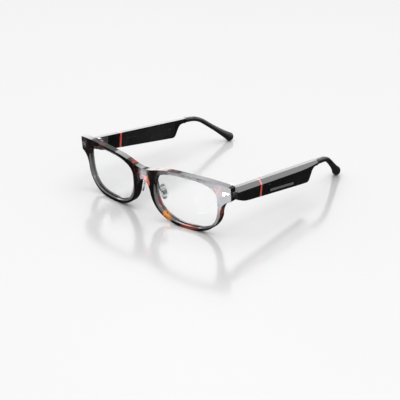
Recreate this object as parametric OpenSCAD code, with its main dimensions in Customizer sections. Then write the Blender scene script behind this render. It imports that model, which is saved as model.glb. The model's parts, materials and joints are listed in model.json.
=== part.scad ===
// Smart glasses: a curved acetate front with two lenses and adjustable nose pads, and two
// folding temples that carry the electronics. Millimetres. +X is the wearer's left, the
// front faces -Y, +Z is up. The rims and the temple tips rest on z = 0.

/* [Lenses] */
// Width of one lens, across its widest points
lens_w = 52; // [46:1:58]
// Height of one lens
lens_h = 36; // [30:1:42]
// Gap between the two lenses over the nose
bridge_w = 18; // [15:1:22]
// Thickness of a lens
lens_t = 1.8; // [1.4:0.1:2.2]
// Depth of the groove that a lens edge sits in
groove_depth = 0.8; // [0.5:0.1:1]
// Clearance round a lens in its groove
lens_clear = 0.04; // [0.02:0.01:0.1]

/* [Front] */
// Thickness of the front, from its face to its back
front_t = 4.2; // [3.6:0.1:5.5]
// Radius of the curve of the front, seen from above
face_r = 270; // [200:10:500]
// Angle by which the front leans, its bottom towards the face
front_tilt = 4; // [0:0.5:8]
// Width of the rim above a lens
rim_top = 2.4; // [2:0.1:4]
// Width of the rim below a lens
rim_bottom = 2.4; // [2:0.1:4]
// Width of the rim at the nose side of a lens
rim_nose = 4.4; // [3:0.1:5]
// Width of the rim at the temple side of a lens
rim_side = 2.3; // [2:0.1:4]
// How far the end piece stands out past the lens
end_piece_w = 9; // [7:0.5:12]
// Height of the end piece
end_piece_h = 9.6; // [8:0.2:11]
// How far the brow line falls from its top to the end piece
brow_fall = 2.4; // [1:0.2:4]
// How far the brow line dips over the nose
bridge_dip = 4.8; // [4:0.2:9]
// Height of the bridge at its middle
bridge_h = 7.6; // [5:0.2:9]

/* [Temples] */
// Length of a temple from its hinge axis to the middle of its end bulb
temple_len = 129; // [115:1:145]
// Thickness of a temple body, from outer face to inner face
temple_t = 5.6; // [5.2:0.1:7]
// Height of a temple body at the accent ring
temple_h = 11; // [10:0.2:14]
// How much deeper a temple body gets from the ring to its rear corner
temple_flare = 1.4; // [0:0.2:3]
// Length of the hinge block, from the hinge axis to the accent ring
block_len = 21.6; // [19:0.2:26]
// Width of the accent ring, along the temple
ring_w = 1.8; // [1:0.1:3]
// Length of the electronics housing behind the ring
housing_len = 54; // [52:1:64]
// Length of the slim neck behind the housing, up to the tip
neck_len = 11; // [8:1:16]
// Height of the slim neck
neck_h = 3.5; // [3:0.1:5]
// Wall thickness of the housing
wall = 0.9; // [0.7:0.1:1.2]
// Thickness of the inner cover
cover_t = 0.9; // [0.7:0.1:1.2]
// Angle by which a temple leans towards the head
toe_in = 2.3; // [0:0.1:4]
// Angle by which the tip bends down
tip_bend = 31; // [20:1:40]
// Angle by which the tip bends towards the head
tip_hook = 18; // [8:1:24]
// Radius of the bulb at the end of a tip
bulb_r = 3.4; // [2.5:0.1:4]

/* [Hinge] */
// Distance from the front's outermost face edge back to the hinge axis
hinge_y = 9.5; // [8.5:0.1:12]
// Height of the hinge axis point over the table
hinge_z = 31.2; // [28:0.2:34]
// Distance from the inner face of a temple to the hinge axis
hinge_inset = 2; // [1.8:0.1:3]
// Outer radius of the hinge barrels
barrel_r = 1.6; // [1.4:0.1:2]
// Radius of the hinge screw's shank
pin_r = 0.7; // [0.6:0.05:0.8]
// Radial clearance of the screw in the temple's barrel
pin_clear = 0.04; // [0.02:0.01:0.08]
// Height of one barrel
barrel_h = 1.9; // [1.6:0.1:2.4]
// Gap between neighbouring barrels
barrel_gap = 0.1; // [0.06:0.02:0.2]
// Gap between the end piece and the front of the temple
fold_gap = 0.35; // [0.3:0.05:0.6]

/* [Nose pads] */
// Length of a pad
pad_len = 12.6; // [11:0.2:15]
// Width of a pad
pad_w = 6.6; // [5:0.2:8]
// Thickness of a pad
pad_t = 2; // [1.6:0.1:2.6]
// Distance of a pad's middle from the nose line
pad_x = 9.3; // [8:0.1:12]
// Height of a pad's middle over the table
pad_z = 17.2; // [14:0.2:22]
// Radius of the wire of a pad arm
arm_r = 0.45; // [0.35:0.05:0.6]

/* [Electronics] */
// Length of a battery
battery_len = 25; // [18:1:27]
// Thickness of a battery
battery_t = 2.3; // [1.8:0.1:2.4]
// Thickness of a circuit board
board_t = 0.6; // [0.5:0.1:0.8]
// Length of the touch strip
strip_len = 25; // [15:1:27]
// Width of the touch strip
strip_w = 1.8; // [1.2:0.1:2.4]
// Length of the speaker
speaker_len = 9; // [8:0.5:10]
// Travel of the function button
button_travel = 0.4; // [0.2:0.05:0.5]

/* [Hidden] */
$fn = 64;
eps = 0.01;

// Front
open_w = lens_w - 2 * groove_depth;
open_h = lens_h - 2 * groove_depth;
lens_x = (bridge_w + lens_w) / 2;
half_w = bridge_w / 2 + lens_w + end_piece_w;
front_h = rim_bottom + open_h + rim_top;
open_z = rim_bottom + open_h * 0.645;
open_x = lens_x + open_w * 0.03;
face_sag = half_w * half_w / (2 * face_r);
face_y = sqrt(face_r * face_r - half_w * half_w);
brow_x = half_w * 0.64;
bridge_blend = bridge_w * 0.85;
end_top = front_h - brow_fall;
end_bottom = end_top - end_piece_h;
rim_low_y = open_x * open_x / (2 * face_r) - face_sag;
front_lift = -rim_low_y * sin(front_tilt) - end_top * (1 - cos(front_tilt));

// Temple, in its own frame: u outward, v back along the temple, w up, zero on the hinge axis
u_in = hinge_inset;
u_out = u_in + temple_t;
hinge_x = half_w - 0.2 - u_out;
v_front = -(hinge_y - 7);
v_ring = block_len;
v_case = v_ring + ring_w;
v_rear = v_case + housing_len;
v_seam = v_rear + neck_len;
w_ring = 3.6;
top_rise = 0.016;
chamfer_u = 2.3;
chamfer_w = 2.8;
neck_t = 4.2;
neck_in = 0.3;
neck_bottom = w_top(v_seam) - neck_h;

// Tip path, as straight, bend and straight, ending in the bulb
bend_r = 24;
bend_start = v_seam + 7;
bend_arc = bend_r * tip_bend * PI / 180;
tip_w0 = (w_top(v_seam) + neck_bottom) / 2;
tip_u0 = u_in + neck_in + neck_t / 2;
path_len = temple_len + 6 - v_seam;
bulb_v = tip_point(1)[0] * sin(toe_in) + tip_point(1)[1] * cos(toe_in);
bulb_w = tip_point(1)[2];
// Pitch of the temples that brings the bulbs down to the table
pitch = atan2(bulb_w, bulb_v) + asin((hinge_z - bulb_r) / sqrt(bulb_v * bulb_v + bulb_w * bulb_w));
// Whole depth, from the middle of the front's face to the ends of the tips
tip_back = hinge_y + bulb_v * cos(pitch) + bulb_w * sin(pitch) + bulb_r;
mid_y = (tip_back - face_sag) / 2;

// Inside of the housing
u_cover = u_in + cover_t;
u_wall = u_out - wall;
seat = 1.3;
fit = 0.05;
w_bore = -2.2;

function w_top(v) = w_ring + top_rise * (v - block_len);
function w_bottom(v) = w_ring - temple_h - temple_flare * (v - block_len) / (v_rear - block_len);

// Point on a superellipse quarter, with half axes a and b and exponent n
function super(a, b, n, t) = [a * pow(abs(cos(t)), 2 / n) * sign(cos(t)),
    b * pow(abs(sin(t)), 2 / n) * sign(sin(t))];
// Closed lens shape grown by g on all sides; c is its centre, the exponents run per quarter
function lens_shape(g, n = [2.9, 2.7, 2.5, 2.8]) = let (
    ai = open_x - (lens_x - open_w / 2) + g, ao = lens_x + open_w / 2 - open_x + g,
    bt = rim_bottom + open_h - open_z + g, bb = open_z - rim_bottom + g)
    [for (t = [0 : 4 : 356]) let (q = floor(t / 90))
        [open_x, open_z] + super(q == 0 || q == 3 ? ao : ai, q < 2 ? bt : bb, n[q], t)];
// Outline of the outside of a rim at angle t, for the lower half
function rim_point(t) = [open_x, open_z] + super(
    t < 270 ? open_x - (lens_x - open_w / 2) + rim_nose : lens_x + open_w / 2 - open_x + rim_side,
    open_z, t < 270 ? 2.4 : 2.5, t);
// Height of the brow line at x
function brow(x) = x < brow_x
    ? front_h - bridge_dip * exp(-pow(x / bridge_blend, 2))
    : front_h - brow_fall * pow((x - brow_x) / (half_w - brow_x), 2);
function bezier(a, b, c, t) = a * (1 - t) * (1 - t) + b * 2 * t * (1 - t) + c * t * t;
function half_front() = let (
    side = rim_point(342), nose = rim_point(190), arch = [0, brow(0) - bridge_h])
    concat(
    [for (x = [0 : half_w / 28 : half_w - 1]) [x, brow(x)]],
    [for (t = [0 : 0.25 : 1]) bezier([half_w - 1, brow(half_w - 1)], [half_w, brow(half_w)],
        [half_w, end_top - 1.2], t)],
    [for (t = [0 : 0.25 : 1]) bezier([half_w, end_bottom + 0.8], [half_w, end_bottom],
        [half_w - 0.9, end_bottom - 0.4], t)],
    [for (t = [0.1 : 0.1 : 0.9]) bezier([half_w - 0.9, end_bottom - 0.4],
        [side[0] + 0.3, end_bottom - 2.4], side, t)],
    [for (t = [342 : -4 : 190]) rim_point(t)],
    [for (t = [0.15 : 0.15 : 0.9]) bezier(nose, [nose[0] * 0.72, arch[1] - 0.1], arch, t)]);
function mirror_x(p) = [for (i = [len(p) - 1 : -1 : 1]) [-p[i][0], p[i][1]]];

// Polygon with each corner i rounded to radius r[i]
function rounded(p, r) = [for (i = [0 : len(p) - 1]) let (
    a = p[(i + len(p) - 1) % len(p)], b = p[i], c = p[(i + 1) % len(p)],
    d = (a - b) / norm(a - b), e = (c - b) / norm(c - b),
    half = acos(max(-1, min(1, d * e))) / 2, reach = r[i] / tan(half),
    m = b + (d + e) / norm(d + e) * (r[i] / sin(half)), p0 = b + d * reach, p1 = b + e * reach)
    each (r[i] == 0 ? [b] : [for (k = [0 : 5]) let (q = p0 + (p1 - p0) * k / 5 - m)
        m + q / norm(q) * r[i]])];

// Side outline (v, w) of the temple body between v0 and v1, all edges moved in by g
function panel(v0, v1, g, r = 1) = rounded([[v0 + g, w_bottom(v0) + g], [v1 - g, w_bottom(v1) + g],
    [v1 - g, w_top(v1) - g], [v0 + g, w_top(v0) - g]], [r, max(r, 3.6 - g), r, r]);
// Side outline of the housing with its neck
function case_outline() = rounded([[v_case, w_bottom(v_case)], [v_rear, w_bottom(v_rear)],
    [v_rear + 4.6, neck_bottom + 0.1], [v_seam, neck_bottom], [v_seam, w_top(v_seam)],
    [v_case, w_top(v_case)]], [0, 3.6, 5, 0, 0, 0]);
// Side outline of the hinge block
function block_outline() = concat([[v_front, w_top(v_front)], [v_front, w_bottom(8) + 2.7]],
    [for (t = [0.25 : 0.25 : 1]) bezier([v_front + 1.5, w_bottom(8) + 2.6],
        [v_front + 6, w_bottom(8) + 0.1], [v_front + 13, w_bottom(v_front + 13)], t)],
    [[v_ring, w_bottom(v_ring)], [v_ring, w_top(v_ring)]]);

// Tip: centre line, ring size and frame at s from 0 (seam) to 1 (bulb centre)
function tip_drop(s) = let (d = s * path_len - (bend_start - v_seam))
    d <= 0 ? [v_seam + s * path_len, tip_w0]
    : d < bend_arc ? [bend_start + bend_r * sin(d / bend_r * 180 / PI),
        tip_w0 - bend_r * (1 - cos(d / bend_r * 180 / PI))]
    : [bend_start + bend_r * sin(tip_bend) + (d - bend_arc) * cos(tip_bend),
        tip_w0 - bend_r * (1 - cos(tip_bend)) - (d - bend_arc) * sin(tip_bend)];
function tip_side(s) = tip_u0 - tan(tip_hook) * path_len * 0.62 * pow(max(s, 0), 1.7);
function tip_point(s) = let (p = tip_drop(s)) [tip_side(s), p[0], p[1]];
function unit(a) = a / norm(a);
// Ring of 20 points of half sizes a (across) and b (up), exponent n, square to the centre line
function tip_ring(s, a, b, n) = let (t = unit(tip_point(s + 0.01) - tip_point(s - 0.01)),
    x = unit(cross(t, [0, 0, 1])), y = cross(x, t), c = tip_point(s))
    [for (i = [0 : 18 : 342]) let (p = super(a, b, n, i)) c + x * p[0] + y * p[1]];

module side(s) {
    if (s > 0) children();
    else mirror([1, 0, 0]) children();
}
// Whole model to the middle of its own box
module placed(s = 1) {
    translate([0, -mid_y, 0]) side(s) children();
}
// Temple frame to the whole model
module temple(s) {
    placed(s) temple_axes() children();
}
module temple_axes() {
    translate([hinge_x, hinge_y, hinge_z]) rotate([-pitch, 0, 0]) rotate([0, 0, toe_in]) children();
}
// A side outline (v, w) made solid from u = a to u = b
module side_slab(points, a, b) {
    translate([a, 0, 0]) rotate([90, 0, 90]) linear_extrude(b - a) polygon(points);
}
// Front frame of reference: leaned about the end piece, with the rims brought down to z = 0
module front_axes() {
    translate([0, 0, end_top + front_lift]) rotate([front_tilt, 0, 0])
        translate([0, 0, -end_top]) children();
}
// An outline (x, z) made solid along Y from y = a to y = b
module front_slab(points, a, b) {
    translate([0, b, 0]) rotate([90, 0, 0]) linear_extrude(b - a) polygon(points);
}
// Curved shell between depths a and b behind the front's face
module face_shell(a, b) {
    translate([0, face_y, -5]) difference() {
        cylinder(h = front_h + 10, r = face_r - a, $fn = 360);
        translate([0, 0, -1]) cylinder(h = front_h + 12, r = face_r - b, $fn = 360);
    }
}

/* Front */
boss_top = end_top - 2;
module end_boss() {
    intersection() {
        front_axes() front_slab([[half_w, end_bottom + 0.8], [half_w, boss_top - chamfer_w],
            [half_w - chamfer_u, boss_top], [hinge_x - 2, boss_top], [hinge_x - 2, end_bottom + 1.2],
            [half_w - 1, end_bottom]], 1.5, hinge_y);
        temple_axes() translate([-20, v_front - fold_gap - 30, -30]) cube([60, 30, 60]);
    }
}
module front_frame() {
    color([0.16, 0.08, 0.06]) placed() difference() {
        union() {
            front_axes() intersection() {
                front_slab(concat(half_front(), mirror_x(half_front())), -face_sag - 8, 12);
                face_shell(0, front_t);
            }
            for (s = [-1, 1]) side(s) end_boss();
        }
        for (s = [-1, 1]) side(s) {
            front_axes() {
                front_slab(lens_shape(0), -20, 20);
                intersection() {
                    front_slab(lens_shape(groove_depth), -20, 20);
                    face_shell((front_t - lens_t) / 2 - lens_clear, (front_t + lens_t) / 2 + lens_clear);
                }
                front_plaque_shape(0.02);
                side_plaque_shape(0.02);
            }
            leaf_holes();
            arm_hole();
        }
    }
}
module lens(s) {
    color([0.9, 0.95, 1, 0.3]) placed(s) front_axes() intersection() {
        front_slab(lens_shape(groove_depth - lens_clear), -20, 20);
        face_shell((front_t - lens_t) / 2, (front_t + lens_t) / 2);
    }
}

/* Plaques: a bar with a short stem, set into the end piece */
plaque_z = end_bottom + end_piece_h * 0.5;
plaque_t = 0.8;
plaque_w = 4.4;
plaque_x = half_w - 1 - plaque_w;
bar_h = 1.2;
stem_h = 2.5;
stem_w = 1.2;
module front_plaque_shape(g) {
    translate([plaque_x - g, 0, plaque_z - g])
        intersection() {
            union() {
                translate([0, -3, 0]) cube([plaque_w + 2 * g, 6, bar_h + 2 * g]);
                translate([0, -3, bar_h - stem_h]) cube([stem_w + 2 * g, 6, stem_h + 2 * g]);
            }
            translate([-(plaque_x - g), face_y, -30]) difference() {
                cylinder(h = 60, r = face_r + plaque_proud, $fn = 360);
                translate([0, 0, -1]) cylinder(h = 62, r = face_r - plaque_t - g, $fn = 360);
            }
        }
}
plaque_proud = 0.25;
side_bar_h = 0.9;
side_stem_h = 2;
module side_plaque_shape(g) {
    translate([half_w - plaque_t - g, 1.8 - g, plaque_z - g]) {
        cube([plaque_t + plaque_proud + g, 3.2 + 2 * g, side_bar_h + 2 * g]);
        translate([0, 0, side_bar_h - side_stem_h])
            cube([plaque_t + plaque_proud + g, 1 + 2 * g, side_stem_h + 2 * g]);
    }
}
module front_plaque(s) {
    color("silver") placed(s) front_axes() front_plaque_shape(0);
}
module side_plaque(s) {
    color("silver") placed(s) front_axes() side_plaque_shape(0);
}

/* Nose pads: a wire arm out of the rim's back, with a box that holds the pad's stud */
box_gap = 0.35;
box_depth = 2;
pivot_out = pad_t / 2 + 0.9;
nose_x = bridge_w / 2;
arm_z = open_z + 2;
nose_back = nose_x * nose_x / (2 * face_r) - face_sag + front_t + (end_top - arm_z) * sin(front_tilt);
pad_y = nose_back + 5.5;
pad_lean = -14;
pad_turn = -26;
arm_root = [nose_x - 0.9, nose_back - 2.4, arm_z];
arm_path = [arm_root, arm_root + [0, 2.4, 0], arm_root + [0.1, 3.4, -0.7], arm_root + [0.4, 3.9, -3.1],
    arm_root + [1, 4.1, -5.8], arm_root + [2, 4.9, -7.8], box_place() + [0, -0.9, 0.2], box_place()];
// Points of a smooth curve through p, k steps between neighbours
function smooth(p, k) = [for (i = [0 : len(p) - 2], j = [0 : k - 1]) let (t = j / k,
    a = p[max(0, i - 1)], b = p[i], c = p[i + 1], d = p[min(len(p) - 1, i + 2)])
    0.5 * (2 * b + (c - a) * t + (2 * a - 5 * b + 4 * c - d) * t * t
        + (3 * b - a - 3 * c + d) * t * t * t)];
function arm_rings() = let (p = smooth(arm_path, 4)) [for (i = [0 : len(p) - 2]) let (
    d = unit(p[i + 1] - p[max(0, i - 1)]), x = unit(cross(d, [0.3, 1, 0.2])), y = cross(x, d))
    [for (a = [0 : 30 : 330]) p[i] + (x * cos(a) + y * sin(a)) * arm_r]];
// Direction and point of the pad's own axes in the whole model
function pad_dir(p) = let (a = [p[0] * cos(pad_turn) - p[1] * sin(pad_turn),
    p[0] * sin(pad_turn) + p[1] * cos(pad_turn), p[2]])
    [a[0] * cos(pad_lean) + a[2] * sin(pad_lean), a[1], a[2] * cos(pad_lean) - a[0] * sin(pad_lean)];
function box_place() = [pad_x, pad_y, pad_z] + pad_dir([pad_t / 2 + box_gap + box_depth - 0.5, 0, 0]);
function pad_pivot() = [pad_x, pad_y - mid_y, pad_z] + pad_dir([pivot_out, 0, 0]);
function pad_axis() = pad_dir([0, 1, 0]);
module arm_hole() {
    translate(arm_root - [0, 0.1, 0]) rotate([-90, 0, 0]) cylinder(h = 6, r = arm_r + 0.03, $fn = 32);
}
module pad_axes() {
    translate([pad_x, pad_y, pad_z]) rotate([0, pad_lean, 0]) rotate([0, 0, pad_turn]) children();
}
module nose_arm(s) {
    color("silver") placed(s) {
        difference() {
            skin(arm_rings());
            pad_axes() translate([pad_t / 2 + box_gap, -1.3, -1.45]) cube([box_depth, 2.6, 2.9]);
        }
        pad_axes() {
            difference() {
                translate([pad_t / 2 + box_gap, -1.35, -1.5]) cube([box_depth, 2.7, 3]);
                translate([pad_t / 2, -0.85, -1.15]) cube([box_depth - 0.1, 1.7, 2.3]);
            }
            translate([pivot_out, 0.95, 0]) rotate([90, 0, 0]) cylinder(h = 1.9, r = 0.3, $fn = 24);
        }
    }
}
module nose_pad(s) {
    color([0.95, 0.97, 1, 0.5]) placed(s) pad_axes() difference() {
        union() {
            intersection() {
                rotate([0, 90, 0]) translate([0, 0, -pad_t / 2]) linear_extrude(pad_t)
                    polygon([for (t = [0 : 10 : 350])
                        [pad_len / 2 * cos(t), pad_w / 2 * sin(t) * (1 - 0.18 * cos(t))]]);
                translate([14 - pad_t / 2, 0, 0]) rotate([90, 0, 0])
                    cylinder(h = 20, r = 14, center = true, $fn = 90);
            }
            translate([pad_t / 2 - eps, -0.7, -0.9]) cube([1.5, 1.4, 1.8]);
        }
        translate([pivot_out, 2, 0]) rotate([90, 0, 0]) cylinder(h = 4, r = 0.3 + pin_clear, $fn = 24);
        core_ring();
    }
}
// Flat metal ring inside a pad
core_in = 1.05;
core_w = 0.55;
core_t = 0.5;
module core_outline(in) {
    rotate([0, 90, 0]) translate([0, 0, -core_t / 2 - 0.2]) linear_extrude(core_t)
        polygon([for (t = [0 : 10 : 350]) super(pad_len / 2 - in, pad_w / 2 - in, 2.4, t)]);
}
module core_ring() {
    difference() {
        core_outline(core_in);
        translate([-1, 0, 0]) scale([5, 1, 1]) core_outline(core_in + core_w);
    }
}
module pad_core(s) {
    color("silver") placed(s) pad_axes() core_ring();
}

/* Hinge: two barrels on the front, one on the temple, and a screw through all three */
barrel_low = -(1.5 * barrel_h + barrel_gap);
module barrel(k, bore) {
    translate([0, 0, barrel_low + k * (barrel_h + barrel_gap)]) difference() {
        cylinder(h = barrel_h, r = barrel_r);
        translate([0, 0, -1]) cylinder(h = barrel_h + 2, r = bore);
    }
}
leaf_t = 1;
leaf_u = u_in - 3.3;
leaf_w = 4.7;
module front_leaf(s) {
    color("silver") temple(s) {
        for (k = [0, 2]) {
            barrel(k, pin_r);
            difference() {
                translate([leaf_u, v_front - fold_gap - leaf_t, barrel_low + k * (barrel_h + barrel_gap)])
                    cube([1.2 - leaf_u, -v_front + fold_gap + leaf_t, barrel_h]);
                translate([0, 0, -9]) cylinder(h = 18, r = barrel_r - 0.2);
            }
        }
        difference() {
            translate([leaf_u, v_front - fold_gap - leaf_t, barrel_low])
                cube([leaf_w, leaf_t, -2 * barrel_low]);
            leaf_screw_places() {
                cylinder(h = 6, r = 0.45, center = true);
                translate([0, 0, -leaf_t - 1]) cylinder(h = 1 + leaf_t / 2, r = 0.8);
            }
        }
    }
}
module leaf_screw_places() {
    for (w = [-1.9, 1.9]) translate([leaf_u + 3.75, v_front - fold_gap - leaf_t, w])
        rotate([90, 0, 0]) children();
}
module leaf_holes() {
    temple_axes() {
        translate([leaf_u - 0.05, v_front - fold_gap - leaf_t, barrel_low - 0.05])
            cube([4.8, leaf_t + 3, -2 * barrel_low + 0.1]);
        leaf_screw_places() translate([0, 0, -0.5]) cylinder(h = 2.6, r = 0.45);
    }
}
module leaf_screws(s) {
    color("silver") temple(s) leaf_screw_places() {
        translate([0, 0, -leaf_t / 2]) cylinder(h = leaf_t / 2 + 2, r = 0.45);
        translate([0, 0, -leaf_t + 0.05]) cylinder(h = leaf_t / 2 - 0.05, r = 0.77);
    }
}
module hinge_screw(s) {
    color([0.75, 0.75, 0.78]) temple(s) difference() {
        union() {
            translate([0, 0, barrel_low]) cylinder(h = -2 * barrel_low, r = pin_r);
            translate([0, 0, -barrel_low]) cylinder(h = 0.6, r = 1.25);
        }
        translate([-2, -0.15, -barrel_low + 0.35]) cube([4, 0.3, 1]);
    }
}
module temple_leaf(s) {
    color("silver") temple(s) {
        barrel(1, pin_r + pin_clear);
        difference() {
            translate([0, 0, -barrel_h / 2]) cube([u_in - 0.05, 4.2, barrel_h]);
            translate([0, 0, -9]) cylinder(h = 18, r = barrel_r - 0.2);
        }
        translate([u_in - 0.1, 1.25, -barrel_h / 2]) cube([0.4, 2.95, barrel_h]);
        translate([u_in, 1.2, -2.9]) cube([0.8, 9, 5.8]);
    }
}
module leaf_seat() {
    translate([u_in - 1, 1.2 - fit, -2.9 - fit]) cube([1.8, 9 + 2 * fit, 5.8 + 2 * fit]);
}

/* Temple body, solid: side outline, thinned at the neck, with the outer top edge cut away */
module temple_plan(v0, v1) {
    translate([0, 0, -30]) linear_extrude(60) polygon(concat(
        [[u_in, v0], [u_out, v0]],
        v1 > v_rear ? [for (t = [0 : 0.2 : 1]) bezier([u_out, v_rear - 14], [u_out, v_rear - 2],
            [u_in + neck_in + neck_t, v_seam], t)] : [[u_out, v1]],
        v1 > v_rear ? [[u_in + neck_in, v_seam], [u_in, v_rear]] : [[u_in, v1]]));
}
module chamfer_cut(v0, v1) {
    rise = atan(top_rise);
    translate([0, v0, w_top(v0)]) rotate([rise, 0, 0])
        translate([0, -5, 0]) rotate([90, 0, 180]) mirror([1, 0, 0]) linear_extrude(v1 - v0 + 10)
            polygon([[u_out - chamfer_u, 0], [u_out, -chamfer_w], [u_out + 3, -chamfer_w],
                [u_out + 3, 3], [u_out - chamfer_u, 3]]);
}
module body_solid(points, v0, v1) {
    difference() {
        intersection() {
            side_slab(points, u_in - 1, u_out + 1);
            temple_plan(v0, v1);
        }
        chamfer_cut(v0, v1);
    }
}
spigot_g = 1.7;
module spigot(v0, v1, g) {
    side_slab([[v0, w_bottom(v_ring) + g], [v1, w_bottom(v_ring) + g], [v1, w_top(v_ring) - g - 1.6],
        [v0, w_top(v_ring) - g - 1.6]], u_in + g - 0.4, u_out - g + 0.4);
}
duct_r = 0.6;
module wire_duct(v0, v1) {
    translate([(u_in + u_out) / 2, v0, w_bore]) rotate([-90, 0, 0])
        cylinder(h = v1 - v0, r = duct_r, $fn = 32);
}
module hinge_block(s) {
    color([0.03, 0.03, 0.03]) temple(s) difference() {
        body_solid(block_outline(), v_front, v_ring);
        leaf_seat();
        spigot(v_ring - 3, v_ring + 1, spigot_g - fit);
        wire_duct(12, v_ring);
    }
}
module accent_ring(s) {
    color([0.85, 0.2, 0.18]) temple(s) difference() {
        body_solid([[v_ring, w_bottom(v_ring)], [v_case, w_bottom(v_case)], [v_case, w_top(v_case)],
            [v_ring, w_top(v_ring)]], v_ring, v_case);
        spigot(v_ring - 1, v_case + 1, spigot_g - fit);
    }
}

/* Housing: a shell open to the head, closed by the inner cover */
module case_cavity(g = 0) {
    side_slab(panel(v_case, v_rear, wall + seat + g, 0.8), u_in - 1, u_wall);
}
module under_chamfer() {
    side_slab([[v_case, -30], [v_seam, -30], [v_seam, w_top(v_seam) - chamfer_w - 0.4],
        [v_case, w_top(v_case) - chamfer_w - 0.4]], u_in - 2, u_out);
}
module cover_shape(g) {
    side_slab(panel(v_case, v_rear, wall + g, 1), u_in - (g == 0 ? 1 : 0), u_cover);
}
screw_vs = [v_case + 3.4, v_rear - 4.8];
strip_v = v_case + 10;
strip_w0 = w_bottom(v_case) + 2.3;
mic_v = v_case + 6.5;
mic_w = -0.6;
module strip_shape(g, a, b) {
    rise = atan(temple_flare / (v_rear - block_len));
    translate([0, strip_v, strip_w0]) rotate([-rise, 0, 0]) {
        for (v = [0, strip_len]) translate([a, v, 0]) rotate([0, 90, 0])
            cylinder(h = b - a, r = strip_w / 2 + g, $fn = 32);
        translate([a, 0, -strip_w / 2 - g]) cube([b - a, strip_len, strip_w + 2 * g]);
    }
}
module housing(s) {
    color([0.02, 0.02, 0.02]) temple(s) difference() {
        union() {
            body_solid(case_outline(), v_case, v_seam);
            spigot(v_ring - 2.8, v_case + 1.5, spigot_g);
        }
        intersection() {
            case_cavity();
            under_chamfer();
        }
        intersection() {
            cover_shape(0);
            side_slab([[v_case, -30], [v_rear + 1, -30], [v_rear + 1, w_top(v_rear)],
                [v_case, w_top(v_case)]], u_in - 2, u_out);
        }
        wire_duct(v_ring - 4, v_case + 4);
        for (v = screw_vs) translate([u_in, v, screw_w(v)]) rotate([0, 90, 0])
            cylinder(h = 2.8, r = 0.4, $fn = 32);
        strip_shape(0.03, u_wall + 0.3, u_out + 1);
        translate([u_wall - 1, mic_v, mic_w - 0.35]) cube([4, 3.4, 0.7]);
        translate([tip_u0, wire_v, tip_w0]) rotate([-90, 0, 0])
            cylinder(h = v_seam + 1 - wire_v, r = wire_r + 0.02, $fn = 32);
        if (s < 0) button_hole();
    }
}
function screw_w(v) = w_bottom(v) + 1.7;
module inner_cover(s) {
    color([0.03, 0.03, 0.03]) temple(s) difference() {
        cover_shape(fit);
        for (v = screw_vs) translate([u_in - 1, v, screw_w(v)]) rotate([0, 90, 0]) {
            cylinder(h = 4, r = 0.45, $fn = 32);
            cylinder(h = 1.5, r = 0.6, $fn = 32);
        }
        for (i = [0 : 3]) contact_place(i) cylinder(h = 4, r = 0.6, center = true, $fn = 32);
        grille_slab(0.03, u_in - 1, u_in + 0.5);
        for (i = [0 : 3]) translate([u_in - 1, grille_v + 0.9 + i * 1.7, grille_w - grille_h / 2 + 0.4])
            cube([4, 0.8, grille_h - 0.8]);
    }
}
module cover_screws(s) {
    color([0.4, 0.4, 0.42]) temple(s)
        for (v = screw_vs) translate([u_in, v, screw_w(v)]) rotate([0, 90, 0]) difference() {
            union() {
                cylinder(h = 2.6, r = 0.4, $fn = 32);
                translate([0, 0, 0.05]) cylinder(h = 0.45, r = 0.55, $fn = 32);
            }
            translate([-0.1, -0.4, -0.1]) cube([0.2, 0.8, 0.35]);
        }
}

/* Electronics in the housing */
board_u = u_wall - 0.25 - board_t;
board_v = v_case + 3;
cell_v = v_case + 14.5;
cell_w0 = w_bottom(v_case) + wall + seat + 0.4;
cell_w1 = w_top(v_case) - chamfer_w - 0.9;
board_h = w_top(v_case) - chamfer_w - 0.6 - (cell_w0 - 0.3);
speaker_v = v_rear - 3.6 - speaker_len;
grille_v = speaker_v + 0.9;
speaker_w0 = w_bottom(speaker_v) + wall + seat + 0.4;
speaker_w1 = w_top(speaker_v) - chamfer_w - 0.8;
grille_w = (speaker_w0 + speaker_w1) / 2;
grille_h = speaker_w1 - speaker_w0 - 2;
grille_len = speaker_len - 1.8;
module battery(s) {
    color([0.75, 0.76, 0.78]) temple(s)
        side_slab(rounded([[cell_v, cell_w0], [cell_v + battery_len, cell_w0],
            [cell_v + battery_len, cell_w1], [cell_v, cell_w1]], [0.8, 0.8, 0.8, 0.8]),
            u_cover + 0.15, u_cover + 0.15 + battery_t);
}
module main_board(s) {
    color([0.05, 0.3, 0.15]) temple(s) {
        difference() {
            translate([board_u, board_v, cell_w0 - 0.3]) cube([board_t, cell_v + 8 - board_v, board_h]);
            translate([board_u - 1, board_v + 5, mic_w - 1.2]) cube([3, 1, 0.6]);
        }
        translate([board_u - 0.9, board_v + 1.4, cell_w0 + 1]) cube([0.9, 3, board_h - 2]);
        translate([board_u - 0.8, board_v + 5.4, cell_w0 + 1]) cube([0.8, 4.4, board_h - 2.8]);
        translate([board_u - 1.1, board_v + 5.6, cell_w0 + board_h - 1.7]) cube([1.1, 1.4, 1.2]);
        translate([board_u - 1.1, board_v + 8, cell_w0 + board_h - 1.7]) cube([1.1, 1.4, 1.2]);
    }
}
module speaker(s) {
    color([0.2, 0.2, 0.2]) temple(s) {
        side_slab(rounded([[speaker_v, speaker_w0], [speaker_v + speaker_len, speaker_w0],
            [speaker_v + speaker_len, speaker_w1], [speaker_v, speaker_w1]], [0.6, 0.6, 0.6, 0.6]),
            u_cover + 0.3, u_wall - 0.3);
    }
}
module grille_slab(g, a, b) {
    h = grille_h / 2 + g;
    side_slab(rounded([[grille_v - g, grille_w - h], [grille_v + grille_len + g, grille_w - h],
        [grille_v + grille_len + g, grille_w + h], [grille_v - g, grille_w + h]],
        [0.9, 0.9, 0.9, 0.9]), a, b);
}
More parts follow.
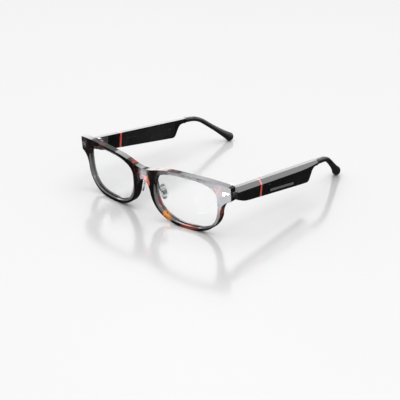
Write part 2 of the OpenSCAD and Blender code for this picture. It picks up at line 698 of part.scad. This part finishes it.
module speaker_grille(s) {
    color([0.5, 0.5, 0.52]) temple(s) difference() {
        grille_slab(0, u_in + 0.1, u_in + 0.45);
        for (i = [0 : 5], j = [-1.5 : 1.5])
            translate([u_in - 1, grille_v + 1.1 + i * (grille_len - 2.2) / 5,
                grille_w + j * grille_h / 4.8]) rotate([0, 90, 0]) cylinder(h = 3, r = 0.3, $fn = 16);
    }
}
module microphone(s) {
    color([0.7, 0.7, 0.7]) temple(s) translate([u_wall - 0.2, mic_v + 0.2, mic_w - 0.33]) {
        cube([wall - 0.1, 3, 0.66]);
    }
}
module touch_strip(s) {
    color([0.35, 0.35, 0.37]) temple(s) strip_shape(0, u_wall + 0.3, u_out - 0.12);
}
module contact_place(i) {
    translate([u_in, v_case + 6.2 + i * 2, -1.2]) rotate([0, 90, 0]) children();
}
module charging_contacts(s) {
    color("gold") temple(s) for (i = [0 : 3]) contact_place(i)
        translate([0, 0, 0.05]) cylinder(h = cover_t + 0.2, r = 0.57, $fn = 32);
}

/* Function button, under the right housing, with its switch */
button_v = v_case + 9;
button_out = 0.45;
switch_w = wall + seat + 0.1;
button_h = switch_w - button_travel - 0.05 + button_out;
module button_hole() {
    translate([(u_in + u_out) / 2, button_v, w_bottom(button_v) - 1]) {
        for (d = [-1.6, 1.6]) translate([0, d, 0]) cylinder(h = 4, r = 0.88, $fn = 32);
        translate([-0.88, -1.6, 0]) cube([1.76, 3.2, 4]);
    }
}
module function_button() {
    color([0.25, 0.25, 0.26]) temple(-1)
        translate([(u_in + u_out) / 2, button_v, w_bottom(button_v) - button_out]) {
        for (d = [-1.6, 1.6]) translate([0, d, 0]) cylinder(h = button_h, r = 0.8, $fn = 32);
        translate([-0.8, -1.6, 0]) cube([1.6, 3.2, button_h]);
    }
}
module button_switch() {
    color([0.6, 0.6, 0.6]) temple(-1)
        translate([(u_in + u_out) / 2 - 0.75, button_v - 1.2, w_bottom(button_v) + switch_w])
            cube([board_u - (u_in + u_out) / 2 + 0.75, 2.4, 0.55]);
}

/* Tip and its core wire, swept along the tip's centre line */
wire_r = 0.6;
wire_end = 0.86;
wire_v = v_seam - neck_len + 4;
function wire_rings() = concat([for (v = [wire_v, v_seam - 3]) [for (i = [0 : 18 : 342])
    [tip_u0 + wire_r * cos(i), v, tip_w0 + wire_r * sin(i)]]],
    [for (s = [0.03 : 0.055 : wire_end]) tip_ring(s, wire_r, wire_r, 2)]);
// Skin over rings of 20 points, with both ends closed
module skin(rings) {
    n = len(rings[0]);
    m = len(rings);
    polyhedron(points = [for (r = rings) each r], faces = concat(
        [[for (i = [n - 1 : -1 : 0]) i]],
        [[for (i = [0 : n - 1]) (m - 1) * n + i]],
        [for (k = [0 : m - 2], i = [0 : n - 1]) each [
            [k * n + i, k * n + (i + 1) % n, (k + 1) * n + i],
            [k * n + (i + 1) % n, (k + 1) * n + (i + 1) % n, (k + 1) * n + i]]]));
}
module core_wire_solid() {
    skin(wire_rings());
}
module core_wire(s) {
    color("silver") temple(s) core_wire_solid();
}
function tip_size(s) = let (k = pow(max(0, (s - 0.25) / 0.75), 4))
    [neck_t / 2 + (bulb_r - neck_t / 2) * k * 0.8, neck_h / 2 + (bulb_r - neck_h / 2) * k];
function tip_rings() = concat(
    [for (s = [0.0003 : 0.05 : 0.951]) let (z = tip_size(s))
        tip_ring(s, z[0], z[1], 3.2 - 1.2 * min(1, s * 3))],
    [for (t = [0 : 15 : 75]) let (z = tip_size(1)) bulb_ring(t, z)]);
function bulb_ring(t, z) = let (d = unit(tip_point(1) - tip_point(0.98)),
    x = unit(cross(d, [0, 0, 1])), y = cross(x, d))
    [for (i = [0 : 18 : 342]) let (p = super(z[0] * cos(t), bulb_r * cos(t), 2, i))
        tip_point(1) + d * bulb_r * sin(t) + x * p[0] + y * p[1]];
module temple_tip(s) {
    color([0.05, 0.05, 0.05]) temple(s) difference() {
        skin(tip_rings());
        core_wire_solid();
    }
}

front_frame();
lens(1);  // lens_left
lens(-1);  // lens_right
front_plaque(1);  // front_plaque_left
front_plaque(-1);  // front_plaque_right
side_plaque(1);  // side_plaque_left
side_plaque(-1);  // side_plaque_right
nose_arm(1);  // nose_arm_left
nose_arm(-1);  // nose_arm_right
nose_pad(1);  // nose_pad_left
nose_pad(-1);  // nose_pad_right
pad_core(1);  // pad_core_left
pad_core(-1);  // pad_core_right
front_leaf(1);  // front_leaf_left
front_leaf(-1);  // front_leaf_right
leaf_screws(1);  // leaf_screws_left
leaf_screws(-1);  // leaf_screws_right
hinge_screw(1);  // hinge_screw_left
hinge_screw(-1);  // hinge_screw_right
temple_leaf(1);  // temple_leaf_left
temple_leaf(-1);  // temple_leaf_right
hinge_block(1);  // hinge_block_left
hinge_block(-1);  // hinge_block_right
accent_ring(1);  // accent_ring_left
accent_ring(-1);  // accent_ring_right
housing(1);  // housing_left
housing(-1);  // housing_right
inner_cover(1);  // inner_cover_left
inner_cover(-1);  // inner_cover_right
cover_screws(1);  // cover_screws_left
cover_screws(-1);  // cover_screws_right
battery(1);  // battery_left
battery(-1);  // battery_right
main_board(1);  // main_board_left
main_board(-1);  // main_board_right
speaker(1);  // speaker_left
speaker(-1);  // speaker_right
speaker_grille(1);  // speaker_grille_left
speaker_grille(-1);  // speaker_grille_right
microphone(1);  // microphone_left
microphone(-1);  // microphone_right
touch_strip(1);  // touch_strip_left
touch_strip(-1);  // touch_strip_right
charging_contacts(1);  // charging_contacts_left
charging_contacts(-1);  // charging_contacts_right
function_button();
button_switch();
core_wire(1);  // core_wire_left
core_wire(-1);  // core_wire_right
temple_tip(1);  // temple_tip_left
temple_tip(-1);  // temple_tip_right
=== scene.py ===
import json
import math
import bpy
import bmesh
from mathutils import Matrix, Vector


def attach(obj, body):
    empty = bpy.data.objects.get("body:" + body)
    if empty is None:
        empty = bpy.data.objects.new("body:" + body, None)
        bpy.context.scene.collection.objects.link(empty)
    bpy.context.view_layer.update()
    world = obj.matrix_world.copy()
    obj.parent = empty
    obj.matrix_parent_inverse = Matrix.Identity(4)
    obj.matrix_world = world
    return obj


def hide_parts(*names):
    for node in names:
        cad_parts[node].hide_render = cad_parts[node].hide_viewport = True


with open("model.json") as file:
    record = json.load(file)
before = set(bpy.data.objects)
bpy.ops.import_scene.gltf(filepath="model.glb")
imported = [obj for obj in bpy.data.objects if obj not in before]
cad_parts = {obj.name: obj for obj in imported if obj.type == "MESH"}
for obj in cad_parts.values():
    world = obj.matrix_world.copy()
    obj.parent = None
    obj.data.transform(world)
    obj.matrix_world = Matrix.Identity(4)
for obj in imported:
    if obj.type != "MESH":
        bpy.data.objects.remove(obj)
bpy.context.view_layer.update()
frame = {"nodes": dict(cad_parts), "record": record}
scene = bpy.context.scene
nodes = frame["nodes"]
MM = 0.001

# the front's face, in mm and degrees: radius of its curve, its place at the bridge and its lean
FACE_R, FACE_Y, FACE_TOP, FACE_LEAN = 270, -75.5, 37, 4
# the camera: where it looks from, in degrees and mm, and the point it looks at, in mm
CAM_AZIMUTH, CAM_ELEVATION, CAM_AWAY = 42.67, 22.18, 872.9
CAM_TARGET = (-19.56, 2.71, 4.59)
# how far the glow panels stand from the face, in metres, and roughly how much larger than their
# stretch of face they are, in width and height
GLOW_AWAY = 0.8
GLOW_WIDE, GLOW_HIGH = 1.9, 1.75
# half the side of the square floor, in metres
FLOOR_HALF = 6.0


# ---------- makers of the camera and the lights ----------

def camera():
    """A long lens at the wearer's left front, looking down a little."""
    az, el = math.radians(CAM_AZIMUTH), math.radians(CAM_ELEVATION)
    back = Vector((math.sin(az) * math.cos(el), -math.cos(az) * math.cos(el), math.sin(el)))
    target = Vector(CAM_TARGET) * MM
    data = bpy.data.cameras.new("camera")
    data.lens = 108
    data.sensor_width = 36
    data.shift_y = -0.075
    data.clip_start, data.clip_end = 0.05, 30
    cam = bpy.data.objects.new("camera", data)
    scene.collection.objects.link(cam)
    cam.location = target + back * CAM_AWAY * MM
    cam.rotation_mode = "QUATERNION"
    cam.rotation_quaternion = (-back).to_track_quat("-Z", "Y")
    scene.camera = cam


def panel(name, place, look_at, width, height, power, diffuse=True, glossy=True, colour=(1, 1, 1)):
    """A rectangular light in metres and watts. One without diffuse light is only seen reflected."""
    data = bpy.data.lights.new(name, "AREA")
    data.shape = "RECTANGLE"
    data.size, data.size_y = width, height
    data.energy = power
    data.color = colour
    light = bpy.data.objects.new(name, data)
    scene.collection.objects.link(light)
    light.visible_diffuse, light.visible_glossy = diffuse, glossy
    light.visible_transmission = light.visible_volume_scatter = False
    light.location = place
    light.rotation_mode = "QUATERNION"
    light.rotation_quaternion = (Vector(place) - Vector(look_at)).to_track_quat("Z", "Y")
    if not diffuse:
        light.light_linking.receiver_collection = off_floor


def glow(name, x, z, wide, high, level, colour=(0.96, 0.95, 1)):
    """A panel that the camera sees reflected in the front's face, about the point x, z (mm).

    wide and high are the stretch of face that shows it, in mm, and level is its brightness.
    """
    lean, turn = math.radians(FACE_LEAN), math.asin(x / FACE_R)
    outward = math.cos(turn)
    normal = Vector((math.sin(turn), -outward * math.cos(lean), -outward * math.sin(lean)))
    y = FACE_Y + x * x / (2 * FACE_R) + (FACE_TOP - z) * math.sin(lean)
    point = Vector((x, y, z)) * MM
    ray = (point - scene.camera.location).normalized()
    ray -= 2 * ray.dot(normal) * normal
    # sideways the curve of the face spreads the reflection further
    wide *= MM * (GLOW_WIDE + 2 * GLOW_AWAY / (FACE_R * MM))
    high *= MM * GLOW_HIGH
    panel(name, point + ray * GLOW_AWAY, point, wide, high, level * math.pi * wide * high,
          diffuse=False, colour=colour)


# ---------- materials ----------

class Mat:
    """A small helper round one node tree. Positions are the object's own, in metres."""

    def __init__(self, name):
        self.mat = bpy.data.materials.new(name)
        self.mat.use_nodes = True
        self.tree = self.mat.node_tree
        self.bsdf = self.tree.nodes["Principled BSDF"]
        self.out = self.tree.nodes["Material Output"]
        self.place = self.new("ShaderNodeTexCoord").outputs["Object"]

    def new(self, kind, **values):
        node = self.tree.nodes.new(kind)
        for key, value in values.items():
            setattr(node, key, value)
        return node

    def link(self, a, b):
        self.tree.links.new(a, b)

    def put(self, socket, value):
        if isinstance(value, bpy.types.NodeSocket):
            self.link(value, socket)
        else:
            socket.default_value = value

    def noise(self, scale, detail=3, rough=0.5, distort=0.0, vector=None):
        node = self.new("ShaderNodeTexNoise")
        self.put(node.inputs["Vector"], vector or self.place)
        node.inputs["Scale"].default_value = scale
        node.inputs["Detail"].default_value = detail
        node.inputs["Roughness"].default_value = rough
        node.inputs["Distortion"].default_value = distort
        return node.outputs["Fac"]

    def stretch(self, x, y, z):
        node = self.new("ShaderNodeMapping")
        self.link(self.place, node.inputs["Vector"])
        node.inputs["Scale"].default_value = (x, y, z)
        return node.outputs["Vector"]

    def remap(self, value, a, b, c, d):
        node = self.new("ShaderNodeMapRange")
        self.put(node.inputs["Value"], value)
        for key, v in zip(("From Min", "From Max", "To Min", "To Max"), (a, b, c, d)):
            node.inputs[key].default_value = v
        return node.outputs["Result"]

    def math(self, op, a, b=0.0):
        node = self.new("ShaderNodeMath", operation=op)
        self.put(node.inputs[0], a)
        self.put(node.inputs[1], b)
        return node.outputs[0]

    def mix(self, fac, a, b):
        node = self.new("ShaderNodeMix", data_type="RGBA")
        self.put(node.inputs["Factor"], fac)
        self.put(node.inputs[6], a if isinstance(a, bpy.types.NodeSocket) else (*a, 1))
        self.put(node.inputs[7], b if isinstance(b, bpy.types.NodeSocket) else (*b, 1))
        return node.outputs[2]

    def bump(self, height, distance, strength=1.0):
        node = self.new("ShaderNodeBump")
        self.put(node.inputs["Height"], height)
        node.inputs["Distance"].default_value = distance
        node.inputs["Strength"].default_value = strength
        self.link(node.outputs["Normal"], self.bsdf.inputs["Normal"])

    def near(self, centre, radius, wobble):
        """1 at a point, falling to 0 at radius, with an uneven edge."""
        node = self.new("ShaderNodeVectorMath", operation="DISTANCE")
        self.link(self.place, node.inputs[0])
        node.inputs[1].default_value = [v * MM for v in centre]
        far = self.math("ADD", node.outputs["Value"], wobble)
        return self.remap(far, radius * 0.35 * MM, radius * MM, 1, 0)

    def through_light_wall(self):
        """1 on the walls of the two lens openings, which are painted lighter grey for the light that
        comes through the acetate.
        """
        split = self.new("ShaderNodeSeparateXYZ")
        self.link(self.place, split.inputs[0])
        across = self.math("SUBTRACT", self.math("ABSOLUTE", split.outputs["X"]), LENS_X)
        across = self.math("POWER", self.math("ABSOLUTE", self.math("DIVIDE", across, HALF_W)),
                           OUTLINE_POWER)
        upward = self.math("SUBTRACT", split.outputs["Z"], LENS_Z)
        upward = self.math("POWER", self.math("ABSOLUTE", self.math("DIVIDE", upward, HALF_H)),
                           OUTLINE_POWER)
        return self.remap(self.math("ADD", across, upward), 1.04, 1.09, 1, 0)

    def set(self, **values):
        for key, value in values.items():
            self.put(self.bsdf.inputs[key.replace("_", " ")], value)
        return self.mat


def plastic(name, dark, light, rough, grain, depth, spec=0.5, coat=0.0):
    """Moulded plastic between two tones; grain is how fine its texture is, depth its height in m."""
    m = Mat(name)
    cloud = m.noise(90, 3)
    fine = m.noise(grain, 2)
    m.set(Base_Color=m.mix(m.remap(cloud, 0.35, 0.7, 0, 1), dark, light),
          Roughness=m.remap(m.noise(260, 4), 0.3, 0.7, rough * 0.8, rough * 1.25),
          Specular_IOR_Level=spec, Coat_Weight=coat, Coat_Roughness=0.04)
    m.bump(fine, depth)
    return m.mat


def metal(name, dark, light, rough, along=(60, 60, 2600)):
    """Metal with a fine grain. along is its fineness in x, y and z, so unequal values brush it."""
    m = Mat(name)
    brush = m.noise(1, 3, vector=m.stretch(*along))
    m.set(Base_Color=m.mix(m.remap(m.noise(300, 2), 0.3, 0.7, 0, 1), dark, light), Metallic=1.0,
          Roughness=m.remap(brush, 0.3, 0.7, rough * 0.7, rough * 1.3))
    m.bump(brush, 0.000004)
    return m.mat


def havana():
    """Dark tortoise acetate: near-black brown with red and amber patches that run slantwise."""
    m = Mat("havana")
    flow = m.stretch(1.0, 1.0, 0.6)
    wobble = m.remap(m.noise(210, 3, 0.55, 0.6, flow), 0.3, 0.7, -0.0032, 0.0032)
    patch = m.noise(80, 4, 0.55, 1.2, flow)
    base = m.mix(m.remap(patch, 0.56, 0.74, 0, 1), (0.005, 0.0035, 0.0032), (0.05, 0.012, 0.006))
    # painted light: the walls of the lens openings are painted a lighter grey for the light that comes
    # through the acetate
    through_light_grey = m.mix(m.remap(patch, 0.3, 0.7, 0, 1), (0.14, 0.14, 0.142), (0.21, 0.205, 0.205))
    base = m.mix(m.through_light_wall(), base, through_light_grey)
    for centre, radius, colour in PATCHES:
        base = m.mix(m.near(centre, radius, wobble), base, colour)
    m.set(Base_Color=base, Roughness=m.remap(m.noise(420, 3), 0.3, 0.7, 0.05, 0.10),
          Specular_IOR_Level=0.5)
    m.bump(m.noise(650, 2), 0.000003)
    return m.mat


def clear(name, tint, solid, rough, seen):
    """See-through material: a share of it is a clear surface, the rest reflects."""
    m = Mat(name)
    through = m.new("ShaderNodeBsdfTransparent")
    m.put(through.inputs["Color"], m.mix(m.remap(m.noise(70, 2), 0.3, 0.7, 0, 1), tint, (1, 1, 1)))
    m.set(Base_Color=m.mix(m.noise(120, 2), solid, (1, 1, 1)), Specular_IOR_Level=0.6,
          Roughness=m.remap(m.noise(160, 3), 0.3, 0.7, rough, rough * 1.8))
    both = m.new("ShaderNodeMixShader")
    m.put(both.inputs[0], m.remap(m.noise(140, 3), 0.3, 0.7, seen * 0.85, seen * 1.15))
    m.link(through.outputs[0], both.inputs[1])
    m.link(m.bsdf.outputs[0], both.inputs[2])
    m.link(both.outputs[0], m.out.inputs["Surface"])
    m.bump(m.noise(300, 2), 0.000002)
    return m.mat


# middle and half sizes of a lens opening, in metres, and the power of its rounded-square outline
LENS_X, LENS_Z = 0.0352, 0.0198
HALF_W, HALF_H = 0.0252, 0.0172
OUTLINE_POWER = 2.6
# place (mm), radius (mm) and colour of the patches that show in the rims and the bridge
PATCHES = [
    ((2.5, -75.0, 27.5), 3.0, (0.75, 0.16, 0.07)),
    ((-4.0, -75.0, 29.0), 3.2, (0.14, 0.012, 0.008)),
    ((13.0, -71.0, 11.8), 3.8, (0.50, 0.035, 0.025)),
    ((18.5, -71.0, 6.5), 4.8, (0.95, 0.33, 0.05)),
    ((37.0, -71.0, 1.0), 6.5, (0.30, 0.06, 0.035)),
    ((-9.0, -71.0, 39.0), 4.5, (0.42, 0.07, 0.045)),
    ((14.0, -70.0, 40.5), 5.0, (0.45, 0.06, 0.035)),
    ((24.0, -69.0, 41.0), 5.0, (0.38, 0.05, 0.03)),
    ((61.0, -67.0, 33.0), 4.5, (0.30, 0.13, 0.12)),
    ((62.0, -67.0, 16.0), 5.0, (0.16, 0.05, 0.035)),
    ((-44.0, -70.0, 40.0), 5.0, (0.10, 0.03, 0.025)),
]


def gloss_black():
    """Polished black plastic of the hinge blocks and the housings."""
    m = Mat("gloss_black")
    cloud = m.remap(m.noise(80, 3), 0.35, 0.7, 0, 1)
    m.set(Base_Color=m.mix(cloud, (0.004, 0.004, 0.0045), (0.009, 0.009, 0.010)),
          Roughness=m.remap(m.noise(240, 4), 0.3, 0.7, 0.10, 0.17), Specular_IOR_Level=0.5)
    m.bump(m.noise(900, 2), 0.000004)
    return m.mat


MATS = {
    "havana": havana(),
    "lens": clear("lens", (0.995, 0.997, 0.997), (0.9, 0.93, 0.95), 0.02, 0.02),
    "pad": clear("pad", (0.985, 0.987, 0.99), (0.8, 0.82, 0.85), 0.10, 0.06),
    "plaque": metal("plaque", (0.78, 0.78, 0.80), (0.92, 0.92, 0.93), 0.16),
    "wire": metal("wire", (0.34, 0.34, 0.35), (0.52, 0.52, 0.53), 0.22, (400, 400, 400)),
    "hinge_metal": metal("hinge_metal", (0.45, 0.45, 0.47), (0.66, 0.66, 0.68), 0.3),
    "gloss_black": gloss_black(),
    "satin_black": plastic("satin_black", (0.008, 0.008, 0.008), (0.016, 0.016, 0.017), 0.33, 1400,
                           0.000012, 0.45),
    "ring": plastic("ring", (0.56, 0.075, 0.055), (0.78, 0.14, 0.11), 0.18, 700, 0.000004, 0.5, 0.3),
    "dark_metal": metal("dark_metal", (0.10, 0.10, 0.11), (0.2, 0.2, 0.21), 0.32),
    "cell": metal("cell", (0.5, 0.5, 0.52), (0.7, 0.7, 0.72), 0.35, (300, 300, 300)),
    "board": plastic("board", (0.01, 0.09, 0.04), (0.02, 0.16, 0.07), 0.4, 900, 0.00001),
    "dark_plastic": plastic("dark_plastic", (0.03, 0.03, 0.032), (0.06, 0.06, 0.062), 0.5, 1200, 0.00001),
    "grille": metal("grille", (0.12, 0.12, 0.125), (0.24, 0.24, 0.25), 0.35, (900, 900, 900)),
    "strip": plastic("strip", (0.10, 0.10, 0.105), (0.16, 0.16, 0.165), 0.28, 900, 0.000005, 0.7),
    "gold": metal("gold", (0.30, 0.20, 0.09), (0.42, 0.30, 0.15), 0.3, (500, 500, 500)),
    "button": plastic("button", (0.015, 0.015, 0.016), (0.03, 0.03, 0.031), 0.4, 1500, 0.00001),
}


def paint(obj, mat):
    obj.data.materials.clear()
    obj.data.materials.append(mat)


# ---------- the CAD pieces: finish, and rounded edges on the ones seen close ----------

slot_of = {s["node"]: s["material_slot"] for s in frame["record"]["subparts"]}
body_of = {n: b for b, names in frame["record"]["behaviour"]["bodies"].items() for n in names}
for name, obj in nodes.items():
    paint(obj, MATS[slot_of[name]])


def rounded(node, width, segments=3, angle=35, flat=0.6):
    """A copy of a CAD piece with its edges rounded by width mm, which is shown in its place."""
    mesh = nodes[node].data.copy()
    bm = bmesh.new()
    bm.from_mesh(mesh)
    bmesh.ops.remove_doubles(bm, verts=bm.verts, dist=2e-6)
    bmesh.ops.dissolve_limit(bm, angle_limit=math.radians(flat), verts=bm.verts, edges=bm.edges)
    bm.to_mesh(mesh)
    bm.free()
    for poly in mesh.polygons:
        poly.use_smooth = True
    obj = bpy.data.objects.new(node + "_edged", mesh)
    scene.collection.objects.link(obj)
    mod = obj.modifiers.new("edges", "BEVEL")
    mod.width = width * MM
    mod.segments = segments
    mod.limit_method = "ANGLE"
    mod.angle_limit = math.radians(angle)
    mod.use_clamp_overlap = True
    mod.harden_normals = False
    mod.miter_outer = "MITER_ARC"
    bpy.context.view_layer.update()
    mod = obj.modifiers.new("normals", "WEIGHTED_NORMAL")
    mod.keep_sharp = True
    mod.weight = 80
    paint(obj, MATS[slot_of[node]])
    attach(obj, body_of[node])
    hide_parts(node)


for side in ("left", "right"):
    rounded("hinge_block_" + side, 0.25)
    rounded("accent_ring_" + side, 0.12)
    rounded("housing_" + side, 0.3)
rounded("front_frame", 0.6)


# ---------- the stage: camera, floor, surroundings and lights ----------

def make_floor():
    """A pale polished floor that mirrors the glasses softly and doesn't show in them."""
    mesh = bpy.data.meshes.new("floor")
    s = FLOOR_HALF
    mesh.from_pydata([(-s, -s, 0), (s, -s, 0), (s, s, 0), (-s, s, 0)], [], [(0, 1, 2, 3)])
    obj = bpy.data.objects.new("floor", mesh)
    scene.collection.objects.link(obj)
    m = Mat("floor")
    m.set(Base_Color=m.mix(m.noise(3, 2), (0.90, 0.90, 0.905), (0.92, 0.92, 0.92)), Metallic=0.28,
          Roughness=m.remap(m.noise(5, 2), 0.3, 0.7, 0.14, 0.16), Specular_IOR_Level=0.5)
    paint(obj, m.mat)
    obj.visible_glossy = False
    return obj


def make_world():
    """Pale above the horizon and dark below it."""
    world = bpy.data.worlds.new("world")
    scene.world = world
    world.use_nodes = True
    tree = world.node_tree
    coord = tree.nodes.new("ShaderNodeTexCoord")
    split = tree.nodes.new("ShaderNodeSeparateXYZ")
    ramp = tree.nodes.new("ShaderNodeValToRGB")
    low, high = ramp.color_ramp.elements
    low.position, low.color = 0.46, (0.05, 0.05, 0.052, 1)
    high.position, high.color = 0.51, (0.72, 0.72, 0.725, 1)
    # the height of the view direction, from -1..1 to 0..1
    half = tree.nodes.new("ShaderNodeMath")
    half.operation = "MULTIPLY_ADD"
    half.inputs[1].default_value = 0.5
    half.inputs[2].default_value = 0.5
    tree.links.new(coord.outputs["Generated"], split.inputs[0])
    tree.links.new(split.outputs["Z"], half.inputs[0])
    tree.links.new(half.outputs[0], ramp.inputs[0])
    tree.links.new(ramp.outputs["Color"], tree.nodes["Background"].inputs["Color"])
    tree.nodes["Background"].inputs["Strength"].default_value = 1.0


camera()
floor = make_floor()

# the glow panels light everything but the floor, which would mirror them as bright spots
off_floor = bpy.data.collections.new("off_floor")
off_floor.objects.link(floor)
off_floor.collection_objects[0].light_linking.link_state = "EXCLUDE"

make_world()

# soft light from above, with a weak light from behind
panel("key", (-1.92, 2.10, 1.66), (0, 0, 0), 0.60, 0.60, 4, glossy=False)
panel("fill", (0, 0, 3), (0, 0, 0), 4, 4, 66, glossy=False)
# these are only seen in the polished surfaces
panel("top_glow", (-0.82, 0.97, 0.31), (0, 0, 0.02), 0.9, 0.30, 2.4, diffuse=False)
panel("side_glow", (0.54, 1.0, 0.62), (0, 0, 0.02), 0.9, 0.5, 4.8, diffuse=False)
panel("brow_top_glow", (-0.48, 0.55, 0.62), (0.05, -0.07, 0.037), 0.34, 0.28, 1.2, diffuse=False)
panel("badge_glow", (0.551, 0.493, -0.285), (0.0702, -0.0625, 0.0323), 0.011, 0.008, 0.0004,
      diffuse=False)
glow("far_badge_glow", -66.8, 32.5, 5, 3, 1.2)
glow("end_glow", 58, 29, 30, 26, 14)
glow("end_low", 66, 8, 12, 16, 6)
glow("brow_glow", 34, 37, 20, 12, 8)
glow("brow_fade", 19, 38, 10, 12, 3)
glow("bridge_glow", 0.5, 29, 6, 12, 9)

scene.view_settings.view_transform = "Standard"
scene.view_settings.look = "None"
